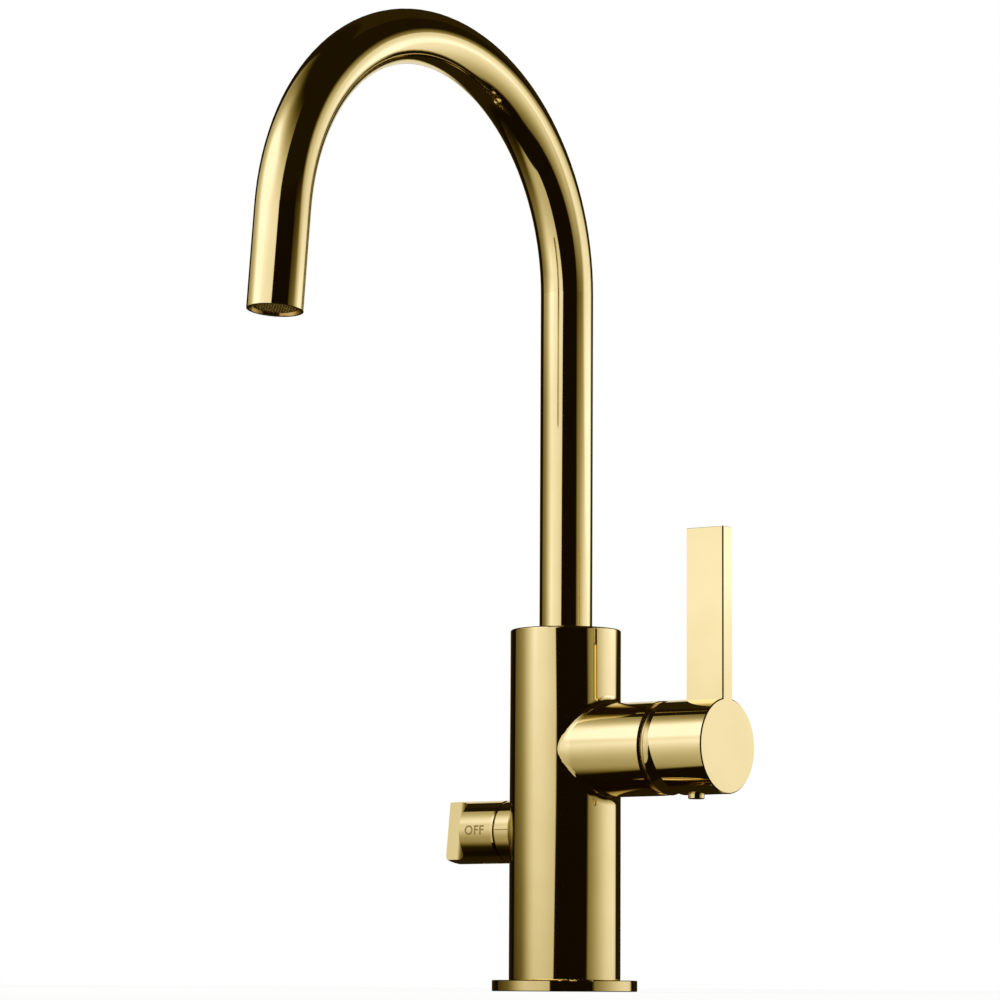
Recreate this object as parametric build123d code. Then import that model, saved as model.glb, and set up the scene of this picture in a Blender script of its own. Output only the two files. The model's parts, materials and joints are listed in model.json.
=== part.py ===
from build123d import *
import os
from math import cos, radians, sin, sqrt, tan

# Kitchen mixer tap with a swivel spout, a side lever and an appliance shut-off.
# Millimetres and degrees. +Z is up and the origin is the centre of the base on the deck.
# The lever arm points along +X, the user stands on the -Y side, the shut-off points along -X.

# Column and base
column_radius = 25.0
column_top = 162.0
column_top_round = 1.0
column_foot_round = 0.4
flange_overhang = 7.5
flange_thickness = 5.0
spigot_inset = 3.0
gasket_inset = 2.5
gasket_width = 3.0
gasket_thickness = 1.5

# Arm that carries the cartridge
arm_height = 107.0
arm_reach = 54.6
arm_wall = 2.0
arm_blend = 3.5
arm_flare = 20.0
arm_flare_relief = 0.7
edge_break = 0.35

# Waterways and fixings in the foot of the column
waterway_radius = 3.75
branch_radius = 3.0
inlet_x = 8.0
inlet_y = 9.0
inlet_lean = 6.0
appliance_port_x = -11.0
port_core_radius = 4.46
port_thread_length = 10.0
stud_x = -2.0
stud_y = 13.0
stud_core_radius = 2.5
stud_thread_length = 15.0
riser_x = -6.0

# Ceramic disc cartridge, measured outwards from its seat
cartridge_radius = 17.5
cartridge_wall = 1.9
pivot_setback = 3.3
base_thickness = 5.0
gasket_plate = 1.0
disc_thickness = 4.0
moving_disc_radius = 12.0
carrier_plate = 4.0
carrier_boss_side = 11.0
carrier_boss_height = 5.5
shoulder_thickness = 2.0
neck_radius = 14.5
neck_wall = 2.5
neck_length = 9.5
port_rise = 5.0
mixed_drop = 8.0
kidney_radius = 10.0
kidney_width = 4.0
kidney_start = 32.0
kidney_end = 66.0
mixing_pocket_radius = 7.0
mixing_lobe_radius = 5.0
mixing_lobe_drop = 5.5
mixing_pocket_depth = 2.5
seal_width = 1.3
seal_thickness = 1.6
nut_land = 1.5
nut_length = 4.0

# Lever, its spindle and what it turns on
lift_angle = 18.0
spindle_side = 8.0
spindle_ball_radius = 3.2
spindle_neck_radius = 2.2
ball_offset = 10.7
pin_radius = 1.5
pin_length = 21.0
groove_width = 3.0
groove_depth = 1.3
groove_line = 0.4
collar_step = 0.1
collar_opening_radius = 18.0
collar_bore_radius = 16.4
hub_length = 28.3
hub_gap = 2.5
hub_boss_radius = 9.5
hub_boss_length = 22.0
spindle_cover = 4.5
relief_angle = 12.0
relief_top = 4.0
blade_width = 19.4
blade_thickness = 7.4
blade_height = 96.5
lever_corner = 0.5
lever_tip_break = 0.15
lever_screw_inset = 16.8
lever_screw_radius = 2.5
lever_screw_head_radius = 3.6
lever_screw_head_length = 4.0
lever_screw_proud = 1.8

# Swivel spout
tube_radius = 12.0
tube_wall = 1.7
bend_start = 315.0
bend_radius = 100.0
bend_sweep = 174.5
tail_length = 44.0
socket_depth = 32.0
foot_length = 24.8
foot_bore_radius = 7.5
foot_plug_length = 12.0
swivel_limit = 60.0
stop_height_in_foot = 17.3
stop_thread_radius = 2.5
stop_tip_radius = 1.75
stop_tip_depth = 1.6
stop_screw_sunk = 1.0
stop_socket_depth = 2.5
oring_thickness = 1.9
slide_ring_height = 2.0
slide_ring_thickness = 1.05
slide_ring_slit = 1.0
foot_land = 1.6
aerator_recess = 0.8
aerator_length = 12.0
aerator_wall = 1.1
aerator_lip = 1.0
aerator_seal_thickness = 1.5
outlet_step = 0.5
strainer_hole_radius = 0.8
strainer_rings = 3

# Appliance shut-off
valve_height = 71.7
knob_radius = 14.25
collar_end = 30.3
valve_floor = 5.5
valve_bore_radius = 9.0
valve_seal_thickness = 2.0
valve_disc_thickness = 2.5
valve_skirt_wall = 0.8
valve_port_radius = 5.9
valve_port_inner = 1.8
valve_port_angle = 78.0
valve_window_length = 4.5
valve_window_width = 9.0
valve_flange_radius = 10.8
valve_flange_length = 4.5
valve_spot_depth = 3.0
valve_neck_radius = 6.4
valve_neck_length = 3.0
valve_shaft_radius = 3.5
valve_head_length = 11.0
valve_head_flat = 2.8
valve_tongue_width = 3.0
valve_tongue_depth = 0.8
valve_foot_thickness = 2.5
circlip_thickness = 0.8
circlip_width = 2.0
circlip_groove_depth = 0.5
circlip_mouth = 3.0
valve_oring_thickness = 1.0
valve_oring_spacing = 5.0
collar_web = 2.0
collar_round = 1.0
collar_flare = 3.5
collar_flare_relief = 0.3
knob_gap = 0.4
knob_rim_depth = 0.25
knob_rim_length = 0.8
knob_barrel = 18.8
knob_length = 31.8
grip_half_thickness = 5.5
grip_cove_radius = 6.5
grip_clocking = 7.0
grip_outer_round = 3.5
grip_inner_round = 1.0
knob_screw_radius = 2.0
knob_screw_inset = 7.5
knob_screw_sunk = 1.0
knob_socket_depth = 2.0

# Fits
running_fit = 0.05
seated_fit = 0.05
free_gap = 0.3
overrun = 5.0

# Sizes that follow from the ones above
flange_radius = column_radius + flange_overhang
spigot_radius = column_radius - spigot_inset
nut_radius = cartridge_radius + nut_land
nut_bore_radius = nut_radius + seated_fit
arm_radius = nut_radius + arm_wall
pocket_radius = cartridge_radius + seated_fit

# Cartridge stations along the arm, counted from the column's axis
pivot_x = arm_reach - pivot_setback
ball_x = pivot_x - ball_offset
carrier_top = ball_x + spindle_ball_radius
carrier_start = carrier_top - carrier_boss_height - carrier_plate
fixed_disc_start = carrier_start - 2 * disc_thickness
gasket_start = fixed_disc_start - gasket_plate
seat_x = gasket_start - base_thickness
moving_disc_start = fixed_disc_start + disc_thickness
carrier_plate_end = carrier_start + carrier_plate
rotor_start = carrier_plate_end + free_gap
rotor_flange_end = rotor_start + carrier_boss_height
shoulder_x = rotor_flange_end + free_gap + shoulder_thickness
neck_end = shoulder_x + neck_length
chamber_radius = cartridge_radius - cartridge_wall
neck_bore_radius = neck_radius - neck_wall
nut_end = shoulder_x + nut_length
disc_travel = ball_offset * radians(lift_angle) + free_gap

# Domed collar and lever hub, both centred on the pivot of the lever
collar_x = arm_reach + groove_width
collar_rim_radius = arm_radius - collar_step
dome_radius = sqrt((collar_x - pivot_x) ** 2 + collar_rim_radius ** 2)
dome_end = pivot_x + sqrt(dome_radius ** 2 - collar_opening_radius ** 2)
hub_cavity_radius = dome_radius + free_gap
hub_start = collar_x + hub_gap
hub_end = hub_start + hub_length
boss_start = hub_end - hub_boss_length
spindle_end = hub_end - spindle_cover
blade_start = hub_end - blade_width
lever_screw_x = hub_end - lever_screw_inset

# Spout stations
socket_radius = tube_radius + free_gap
socket_floor = column_top - socket_depth
foot_radius = socket_radius - running_fit
foot_bottom = socket_floor + free_gap
foot_top = foot_bottom + foot_length
tube_bore_radius = tube_radius - tube_wall
stop_height = foot_bottom + stop_height_in_foot
groove_floor_radius = foot_radius - oring_thickness
outlet_bore_radius = tube_bore_radius + outlet_step
aerator_end = aerator_recess + aerator_length
outlet_depth = aerator_end + aerator_seal_thickness

# Shut-off stations, counted outwards from the column's axis
valve_fixed_start = valve_floor + valve_seal_thickness
valve_moving_start = valve_fixed_start + valve_disc_thickness
valve_tongue_start = valve_moving_start + valve_disc_thickness
valve_foot_start = valve_tongue_start + valve_foot_thickness
valve_foot_end = valve_foot_start + valve_foot_thickness
valve_skirt_end = valve_foot_end + free_gap
valve_spot_x = column_radius - valve_spot_depth
valve_flange_end = valve_spot_x + valve_flange_length
valve_neck_end = collar_end + valve_neck_length
valve_skirt_radius = valve_bore_radius - seated_fit
valve_disc_radius = valve_skirt_radius - valve_skirt_wall - seated_fit
knob_start = collar_end + knob_gap
knob_end = knob_start + knob_length
valve_head_end = valve_neck_end + valve_head_length

base_up = (Align.CENTER, Align.CENTER, Align.MIN)

# In the arm's frame local Z runs out along the arm, local X is +Y and local Y is up.
arm_frame = Plane(origin=(0, 0, arm_height), x_dir=(0, 1, 0), z_dir=(1, 0, 0))
# In the valve's frame local Z runs out along -X, local X faces the user and local Y is up.
valve_frame = Plane(origin=(0, 0, valve_height), x_dir=(0, -1, 0), z_dir=(-1, 0, 0))


def rod(radius, start, end):
    """Round bar or bore along local Z."""
    return Pos(0, 0, start) * Cylinder(radius, end - start, align=base_up)


def ring(outer, inner, start, end):
    """Plain ring about local Z."""
    return rod(outer, start, end) - rod(inner, start - overrun, end + overrun)


def bar(width, depth, start, end):
    """Rectangular bar along local Z."""
    return Pos(0, 0, start) * Box(width, depth, end - start, align=base_up)


def sector(outer, inner, angle, start, end):
    """Part of a ring, centred on local +X."""
    wedge = Cylinder(outer, end - start, arc_size=angle, align=(Align.NONE, Align.NONE, Align.MIN))
    whole = Pos(0, 0, start) * Rot(0, 0, -angle / 2) * wedge
    return whole - rod(inner, start - overrun, end + overrun)


def torus_ring(major, minor, height):
    """O-ring about local Z."""
    return Pos(0, 0, height) * Torus(major, minor)


def kidney(widening, side):
    """Curved slot of one cartridge inlet, at its angle from straight up."""
    middle = 90 - side * (kidney_start + kidney_end) / 2
    spread = kidney_end - kidney_start
    arc = CenterArc((0, 0), kidney_radius, middle - spread / 2, spread)
    return SlotArc(arc, kidney_width + 2 * widening)


def cartridge_ports(widening):
    """Outlines of the two inlets and the mixed outlet in the cartridge's face."""
    mixed = Pos(0, -mixed_drop) * Circle(waterway_radius + widening)
    return [kidney(widening, 1), kidney(widening, -1), mixed]


def prism(outline, start, end):
    """Outline drawn in local XY, made solid from start to end along local Z."""
    return extrude(Pos(0, 0, start) * outline, amount=end - start)


def hex_socket(thread_radius, head, depth):
    """Key socket sunk in a grub screw's outer end."""
    return extrude(Pos(0, 0, head) * RegularPolygon(thread_radius / 2, 6), amount=-depth)


def flank_flare(radius, flare, relief):
    """Swelling of a round branch where its flanks run out on the column, about local Z."""
    across = sqrt((column_radius + flare) ** 2 - (radius + flare) ** 2)
    foot = across * column_radius / (column_radius + flare)
    hollow = Pos(0, 0, across - relief) * Torus(radius + flare, flare)
    return rod(radius + flare, foot, across - relief) - hollow


def make_column():
    """One brass casting: column, arm and the waterways inside them."""
    body = rod(column_radius, flange_thickness, column_top)
    body += arm_frame * rod(arm_radius, 0, arm_reach)
    body += arm_frame * flank_flare(arm_radius, arm_flare, arm_flare_relief)
    straight = (GeomType.CIRCLE, GeomType.LINE)
    body = fillet([e for e in body.edges() if e.geom_type not in straight], arm_blend)
    circles = body.edges().filter_by(GeomType.CIRCLE)
    body = fillet(circles.group_by(Axis.Z)[-1], column_top_round)
    circles = body.edges().filter_by(GeomType.CIRCLE)
    body = fillet(circles.group_by(Axis.Z)[0], column_foot_round)
    circles = body.edges().filter_by(GeomType.CIRCLE)
    body = chamfer(circles.group_by(Axis.X)[-1], edge_break)
    body += rod(spigot_radius, 0, flange_thickness + column_foot_round)
    body -= column_pockets()
    body -= column_waterways()
    return body


def column_pockets():
    """Room for the cartridge, the spout's foot, the shut-off and its screws."""
    cartridge_pocket = rod(pocket_radius, seat_x, arm_reach + overrun)
    cartridge_pocket += rod(nut_bore_radius, shoulder_x, arm_reach + overrun)
    pockets = arm_frame * cartridge_pocket
    pockets += rod(socket_radius, socket_floor, column_top + overrun)
    valve_pocket = rod(valve_bore_radius, valve_floor, column_radius + overrun)
    valve_pocket += rod(valve_flange_radius + seated_fit, valve_spot_x, column_radius + overrun)
    pockets += valve_frame * valve_pocket
    rear = Plane(origin=(0, 0, stop_height), x_dir=(1, 0, 0), z_dir=(0, 1, 0))
    pockets += rear * rod(stop_thread_radius + seated_fit, tube_radius, column_radius + overrun)
    for side in (-1, 1):
        pockets += Pos(stud_x, side * stud_y, 0) * rod(stud_core_radius, -overrun, stud_thread_length)
    return pockets


def channel(radius, start, end):
    """Round waterway from one point to another, with a round end."""
    way = Vector(end) - Vector(start)
    frame = Plane(origin=start, z_dir=way)
    return frame * rod(radius, 0, way.length) + Pos(*end) * Sphere(radius)


def column_waterways():
    """Cold and hot to the cartridge, mixed to the spout, cold to the shut-off and down again."""
    ways = []
    port_thread = rod(port_core_radius, -overrun, port_thread_length)
    inlet_level = arm_height + port_rise
    for side in (-1, 1):
        y = side * inlet_y
        ways.append(Pos(inlet_x, y, 0) * port_thread)
        foot = (inlet_x, y, port_thread_length / 2)
        corner = (inlet_x + inlet_lean, y, inlet_level)
        ways.append(channel(waterway_radius, foot, corner))
        ways.append(channel(waterway_radius, corner, (seat_x + overrun, y, inlet_level)))
    mixed_corner = (riser_x, 0, arm_height - mixed_drop)
    ways.append(channel(waterway_radius, (seat_x + overrun, 0, arm_height - mixed_drop), mixed_corner))
    ways.append(channel(waterway_radius, mixed_corner, (riser_x, 0, socket_floor + overrun)))
    climb = (valve_height - port_thread_length / 2) / (inlet_level - port_thread_length / 2)
    branch_start = (inlet_x + climb * inlet_lean, -inlet_y, valve_height)
    ways.append(channel(branch_radius, branch_start, (-valve_floor, 0, valve_height)))
    drain = port_thread + rod(waterway_radius, 0, valve_height - valve_shaft_radius)
    ways.append(Pos(appliance_port_x, 0, 0) * drain)
    return ways


def make_base_flange():
    """Round foot plate, with the gasket's groove underneath."""
    plate = ring(flange_radius, spigot_radius + seated_fit, 0, flange_thickness)
    rims = plate.edges().filter_by(GeomType.CIRCLE).group_by(SortBy.RADIUS)[-1]
    plate = chamfer(rims, edge_break)
    outer = flange_radius - gasket_inset + seated_fit
    inner = flange_radius - gasket_inset - gasket_width - seated_fit
    return plate - ring(outer, inner, -overrun, gasket_thickness)


def make_base_gasket():
    """Rubber ring that seals the foot to the deck."""
    outer = flange_radius - gasket_inset
    return ring(outer, outer - gasket_width, 0, gasket_thickness)


def make_cartridge_base():
    """Plastic base with three ports and grooves for their seals."""
    base = rod(cartridge_radius, seat_x, gasket_start)
    base += rod(chamber_radius - seated_fit, gasket_start, fixed_disc_start)
    base -= rod(kidney_radius + kidney_width + seated_fit, gasket_start, fixed_disc_start + overrun)
    for outline in cartridge_ports(seal_width + seated_fit):
        base -= prism(outline, seat_x - overrun, seat_x + seal_thickness)
    for outline in cartridge_ports(0):
        base -= prism(outline, seat_x - overrun, fixed_disc_start + overrun)
    return arm_frame * base


def make_port_seals():
    """Rubber seal round each port, between the base and the arm's seat."""
    seals = []
    for outline, opening in zip(cartridge_ports(seal_width), cartridge_ports(0)):
        seals.append(arm_frame * prism(outline - opening, seat_x, seat_x + seal_thickness))
    return seals


def make_disc_gasket():
    """Rubber plate under the fixed disc, with the three ports."""
    plate = rod(kidney_radius + kidney_width, gasket_start, fixed_disc_start)
    for outline in cartridge_ports(0):
        plate -= prism(outline, gasket_start - overrun, fixed_disc_start + overrun)
    return arm_frame * plate


def make_fixed_disc():
    """Ceramic disc with two curved inlets and a round outlet."""
    disc = rod(chamber_radius - seated_fit, fixed_disc_start, moving_disc_start)
    for outline in cartridge_ports(0):
        disc -= prism(outline, fixed_disc_start - overrun, moving_disc_start + overrun)
    return arm_frame * disc


def make_moving_disc():
    """Ceramic disc whose blind pocket joins the inlets to the outlet."""
    disc = rod(moving_disc_radius, moving_disc_start, carrier_start)
    pocket_top = moving_disc_start + mixing_pocket_depth
    pocket = rod(mixing_pocket_radius, moving_disc_start - overrun, pocket_top)
    lobe = rod(mixing_lobe_radius, moving_disc_start - overrun, pocket_top)
    pocket += Pos(0, -mixing_lobe_drop, 0) * lobe
    return arm_frame * (disc - pocket)


def make_disc_carrier():
    """Plastic carrier with a square boss that slides in the rotor."""
    carrier = rod(moving_disc_radius, carrier_start, carrier_plate_end)
    carrier += bar(carrier_boss_side, carrier_boss_side, carrier_plate_end, carrier_top)
    socket = rod(spindle_ball_radius + free_gap, carrier_start + carrier_plate / 2, carrier_top + overrun)
    return arm_frame * (carrier - socket)


def make_rotor():
    """Plastic guide that turns in the housing and carries the lever's pin."""
    rotor = rod(chamber_radius - running_fit, rotor_start, rotor_flange_end)
    rotor += rod(neck_bore_radius - running_fit, rotor_flange_end, neck_end - free_gap)
    guide_side = carrier_boss_side + 2 * running_fit
    guide = Box(guide_side, guide_side + disc_travel, carrier_boss_height + free_gap)
    guide_middle = (rotor_start + carrier_top + free_gap) / 2
    rotor -= Pos(0, disc_travel / 2, guide_middle) * guide
    slot_width = spindle_side + 2 * running_fit
    tilt = tan(radians(lift_angle))
    below = spindle_side / 2 + (neck_end - pivot_x) * tilt + free_gap
    above = spindle_side / 2 + free_gap
    slot = Pos(0, (above - below) / 2, 0) * bar(slot_width, above + below, pivot_x, neck_end + overrun)
    reach = spindle_side / 2 + (pivot_x - rotor_start) * tilt + free_gap
    slot += Pos(0, (reach - above) / 2, 0) * bar(slot_width, above + reach, rotor_start - overrun, pivot_x)
    rotor -= slot
    across = Plane(origin=(0, 0, pivot_x), x_dir=(0, 1, 0), z_dir=(1, 0, 0))
    rotor -= across * rod(pin_radius + seated_fit, -pin_length / 2, pin_length / 2)
    return arm_frame * rotor


def make_rotor_pin():
    """Steel pin that the lever's spindle rocks on."""
    across = Plane(origin=(0, 0, pivot_x), x_dir=(0, 1, 0), z_dir=(1, 0, 0))
    return arm_frame * (across * rod(pin_radius, -pin_length / 2, pin_length / 2))


def make_housing():
    """Plastic cartridge shell with a shoulder for the nut and an open neck."""
    shell = rod(cartridge_radius, gasket_start, shoulder_x)
    shell += rod(neck_radius, shoulder_x, neck_end)
    shell -= rod(chamber_radius, gasket_start - overrun, shoulder_x - shoulder_thickness)
    shell -= rod(neck_bore_radius, shoulder_x - shoulder_thickness - overrun, neck_end + overrun)
    return arm_frame * shell


def make_cartridge_nut():
    """Brass ring nut that holds the cartridge on its seat."""
    nut = ring(nut_radius, neck_radius + seated_fit, shoulder_x, nut_end)
    return arm_frame * nut


def make_groove_ring():
    """Recessed ring between the arm and the domed collar."""
    outer = arm_radius - groove_depth
    band = ring(outer, nut_radius + seated_fit, arm_reach, collar_x)
    for share in (0.3, 0.7):
        middle = arm_reach + share * groove_width
        start = middle - groove_line / 2
        band -= ring(outer + overrun, outer - groove_line / 2, start, start + groove_line)
    return arm_frame * band


def make_dome_collar():
    """Domed collar screwed into the end of the arm; the lever's hub rocks over it."""
    dome = Pos(0, 0, pivot_x) * Sphere(dome_radius)
    dome &= rod(dome_radius, collar_x, dome_end)
    dome += rod(nut_radius, nut_end, collar_x)
    dome -= rod(collar_bore_radius, nut_end - overrun, dome_end + overrun)
    return arm_frame * dome


def make_lever():
    """Hub and blade in one casting, hollowed to rock over the collar."""
    lever = rod(arm_radius, hub_start, hub_end)
    blade = bar(blade_thickness, blade_height, blade_start, hub_end)
    lever += Pos(0, blade_height / 2, 0) * blade
    *corners, tip = lever.edges().group_by(Axis.Z)[-1].sort_by(Axis.Y)
    lever = chamfer(corners, lever_corner)
    lever = chamfer(lever.edges().group_by(Axis.Y)[-1], lever_tip_break)
    foot = arm_radius + overrun
    setback = (relief_top + foot) * tan(radians(relief_angle))
    outline = Polyline(
        (relief_top, hub_start), (-foot, hub_start), (-foot, hub_start + setback), close=True
    )
    lever -= extrude(Plane.YZ * make_face(outline), amount=arm_radius + overrun, both=True)
    cavity = Pos(0, 0, pivot_x) * Sphere(hub_cavity_radius)
    lever -= cavity - rod(hub_boss_radius, boss_start, hub_end)
    socket_side = spindle_side + 2 * seated_fit
    lever -= bar(socket_side, socket_side, boss_start - overrun, spindle_end + free_gap)
    down = Plane(origin=(0, 0, lever_screw_x), x_dir=(1, 0, 0), z_dir=(0, -1, 0))
    lever -= down * rod(lever_screw_radius + seated_fit, 0, arm_radius + overrun)
    seat = arm_radius + lever_screw_proud - lever_screw_head_length
    lever -= down * rod(lever_screw_head_radius + seated_fit, seat, arm_radius + overrun)
    return arm_frame * lever


def make_spindle():
    """Steel spindle: square head in the hub, ball end in the disc carrier."""
    head_start = pivot_x - spindle_side / 2
    spindle = bar(spindle_side, spindle_side, head_start, spindle_end)
    spindle += rod(spindle_neck_radius, ball_x, head_start)
    spindle += Pos(0, 0, ball_x) * Sphere(spindle_ball_radius)
    across = Plane(origin=(0, 0, pivot_x), x_dir=(0, 1, 0), z_dir=(1, 0, 0))
    spindle -= across * rod(pin_radius + running_fit, -spindle_side, spindle_side)
    return arm_frame * spindle


def make_lever_screw():
    """Screw under the hub that clamps it on the spindle."""
    down = Plane(origin=(0, 0, lever_screw_x), x_dir=(1, 0, 0), z_dir=(0, -1, 0))
    head_end = arm_radius + lever_screw_proud
    seat = head_end - lever_screw_head_length
    screw = rod(lever_screw_radius, spindle_side / 2, seat)
    screw += rod(lever_screw_head_radius, seat, head_end)
    screw = chamfer(screw.edges().group_by(Axis.Z)[-1], edge_break)
    return arm_frame * (down * screw)


def outlet_frame():
    """Frame at the spout's end, with local Z running back up the tube."""
    turn = radians(bend_sweep)
    y = -bend_radius + bend_radius * cos(turn) - tail_length * sin(turn)
    z = bend_start + bend_radius * sin(turn) + tail_length * cos(turn)
    return Plane(origin=(0, y, z), x_dir=(1, 0, 0), z_dir=(0, sin(turn), -cos(turn)))


def make_spout_tube():
    """Gooseneck tube: riser, bend and straight tail, bored out for the aerator."""
    tube = ring(tube_radius, tube_bore_radius, foot_top, bend_start)
    section = Pos(0, 0, bend_start) * (Circle(tube_radius) - Circle(tube_bore_radius))
    bend_axis = Axis((0, -bend_radius, bend_start), (1, 0, 0))
    tube += revolve(section, bend_axis, revolution_arc=bend_sweep)
    outlet = outlet_frame()
    tube += outlet * ring(tube_radius, tube_bore_radius, 0, tail_length)
    return tube - outlet * rod(outlet_bore_radius, -overrun, outlet_depth)


def foot_stations():
    """Heights of the foot's grooves: slide ring, two O-rings, slide ring."""
    low_ring = foot_bottom + foot_land
    first = low_ring + slide_ring_height + foot_land + oring_thickness / 2
    second = first + oring_thickness + foot_land
    high_ring = foot_top - foot_land - slide_ring_height
    return low_ring, first, second, high_ring


def make_spout_foot():
    """Turned brass foot brazed into the tube, with grooves for seals, rings and the stop."""
    low_ring, first, second, high_ring = foot_stations()
    foot = rod(foot_radius, foot_bottom, foot_top)
    foot += rod(tube_bore_radius - seated_fit, foot_top, foot_top + foot_plug_length)
    foot -= rod(foot_bore_radius, foot_bottom - overrun, foot_top + foot_plug_length + overrun)
    for middle in (first, second):
        half = oring_thickness / 2 + seated_fit
        foot -= ring(foot_radius + overrun, groove_floor_radius, middle - half, middle + half)
    for start in (low_ring, high_ring):
        inner = foot_radius - slide_ring_thickness
        end = start + slide_ring_height + seated_fit
        foot -= ring(foot_radius + overrun, inner, start - seated_fit, end)
    half = stop_tip_radius + running_fit
    floor = foot_radius - stop_tip_depth - running_fit
    slot = sector(foot_radius + overrun, floor, 2 * swivel_limit, stop_height - half, stop_height + half)
    foot -= Rot(0, 0, 90) * slot
    for angle in (-swivel_limit, swivel_limit):
        outward = Plane(origin=(0, 0, stop_height), x_dir=(1, 0, 0), z_dir=(0, 1, 0))
        foot -= Rot(0, 0, angle) * (outward * rod(half, floor, foot_radius + overrun))
    return foot


def make_spout_orings():
    """Two rubber rings that seal the foot in the column."""
    low_ring, first, second, high_ring = foot_stations()
    minor = oring_thickness / 2
    return [torus_ring(foot_radius - minor, minor, middle) for middle in (first, second)]


def make_slide_rings():
    """Two slit plastic rings that the foot turns on."""
    low_ring, first, second, high_ring = foot_stations()
    rings = []
    for start in (low_ring, high_ring):
        band = ring(foot_radius, foot_radius - slide_ring_thickness, start, start + slide_ring_height)
        behind = (Align.CENTER, Align.MAX, Align.CENTER)
        slit = Box(slide_ring_slit, tube_radius * 2, column_top * 3, align=behind)
        rings.append(band - slit)
    return rings


def make_stop_screw():
    """Dog-point screw at the back that keeps the spout in and limits its swing."""
    rear = Plane(origin=(0, 0, stop_height), x_dir=(1, 0, 0), z_dir=(0, 1, 0))
    tip = foot_radius - stop_tip_depth
    screw = rod(stop_tip_radius, tip, socket_radius + edge_break)
    head = column_radius - stop_screw_sunk
    screw += rod(stop_thread_radius, socket_radius + edge_break, head)
    return rear * (screw - hex_socket(stop_thread_radius, head, stop_socket_depth))


def make_aerator_housing():
    """Threaded ring in the spout's end, with a lip under the strainer."""
    outer = outlet_bore_radius - seated_fit
    inner = outer - aerator_wall
    shell = ring(outer, inner, aerator_recess, aerator_end)
    shell += ring(outer, inner - aerator_lip, aerator_recess, aerator_recess + aerator_lip)
    return outlet_frame() * shell


def make_aerator_insert():
    """Strainer and mixing body, with rings of holes in its face."""
    start = aerator_recess + aerator_lip
    radius = outlet_bore_radius - seated_fit - aerator_wall - seated_fit
    cup = rod(radius, start, aerator_end)
    cup -= rod(radius - aerator_lip, start + 2 * aerator_lip, aerator_end + overrun)
    spacing = (radius - aerator_lip * 2) / strainer_rings
    hole = rod(strainer_hole_radius, start - overrun, start + overrun)
    cup -= hole
    for number in range(1, strainer_rings + 1):
        count = 6 * number
        for step in range(count):
            cup -= Rot(0, 0, 360 * step / count) * (Pos(number * spacing, 0, 0) * hole)
    return outlet_frame() * cup


def make_aerator_seal():
    """Rubber washer between the aerator and the step in the tube."""
    outer = outlet_bore_radius - seated_fit
    inner = outer - aerator_wall - aerator_lip
    return outlet_frame() * ring(outer, inner, aerator_end, aerator_end + aerator_seal_thickness)


def valve_openings(start, end):
    """Two opposite openings of a shut-off disc, centred on local X."""
    opening = sector(valve_port_radius, valve_port_inner, valve_port_angle, start, end)
    return opening + Rot(0, 0, 180) * opening


def make_valve_headwork():
    """Brass body of the shut-off, screwed into the column."""
    body = rod(valve_skirt_radius, valve_fixed_start, valve_spot_x)
    body += rod(valve_flange_radius, valve_spot_x, valve_flange_end)
    body += rod(valve_neck_radius, valve_flange_end, valve_neck_end)
    body -= rod(valve_disc_radius + seated_fit, valve_fixed_start - overrun, valve_skirt_end)
    body -= rod(valve_shaft_radius + running_fit, valve_fixed_start, valve_neck_end + overrun)
    window = Box(valve_bore_radius * 3, valve_window_width, valve_window_length, align=base_up)
    window_start = valve_tongue_start - running_fit
    body -= Pos(0, 0, window_start) * (Rot(0, 0, 90) * window)
    return valve_frame * body


def make_valve_seat_seal():
    """Rubber ring between the headwork and the end of its pocket."""
    outer = valve_disc_radius
    return valve_frame * ring(outer, valve_port_radius, valve_floor, valve_fixed_start)


def make_valve_fixed_disc():
    """Ceramic disc that stays still in the headwork."""
    disc = rod(valve_disc_radius, valve_fixed_start, valve_moving_start)
    openings = valve_openings(valve_fixed_start - overrun, valve_moving_start + overrun)
    return valve_frame * (disc - Rot(0, 0, 90) * openings)


def make_valve_moving_disc():
    """Ceramic disc that the spindle turns; shut while its openings lie across the fixed ones."""
    radius = valve_disc_radius - free_gap
    disc = rod(radius, valve_moving_start, valve_tongue_start)
    disc -= valve_openings(valve_moving_start - overrun, valve_tongue_start + overrun)
    side = valve_tongue_width + 2 * seated_fit
    slot_start = valve_tongue_start - valve_tongue_depth - seated_fit
    disc -= bar(side, 3 * valve_bore_radius, slot_start, valve_tongue_start + overrun)
    return valve_frame * disc


def make_valve_spindle():
    """Brass spindle with a tongue for the disc and a flat for the knob's screw."""
    radius = valve_disc_radius - free_gap
    foot = rod(radius, valve_foot_start, valve_foot_end)
    tongue_start = valve_tongue_start - valve_tongue_depth
    tongue = bar(valve_tongue_width, 2 * radius, tongue_start, valve_foot_start)
    tongue &= rod(radius, valve_floor, valve_foot_start)
    spindle = foot + tongue + rod(valve_shaft_radius, valve_foot_end, valve_head_end)
    half = valve_oring_thickness / 2 + seated_fit
    for middle in spindle_seal_stations():
        floor = valve_shaft_radius - valve_oring_thickness
        spindle -= ring(valve_bore_radius, floor, middle - half, middle + half)
    clip_start = valve_neck_end + seated_fit
    clip_end = clip_start + circlip_thickness + 2 * seated_fit
    spindle -= ring(valve_bore_radius, valve_shaft_radius - circlip_groove_depth, clip_start, clip_end)
    inward = (Align.MAX, Align.CENTER, Align.MAX)
    flat = Box(valve_shaft_radius, valve_bore_radius, valve_head_length, align=inward)
    spindle -= Rot(0, 0, grip_clocking) * (Pos(-valve_head_flat, 0, valve_head_end) * flat)
    return valve_frame * spindle


def spindle_seal_stations():
    """Places of the spindle's two rubber rings."""
    middle = (valve_skirt_end + valve_flange_end) / 2
    return middle - valve_oring_spacing / 2, middle + valve_oring_spacing / 2


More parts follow.
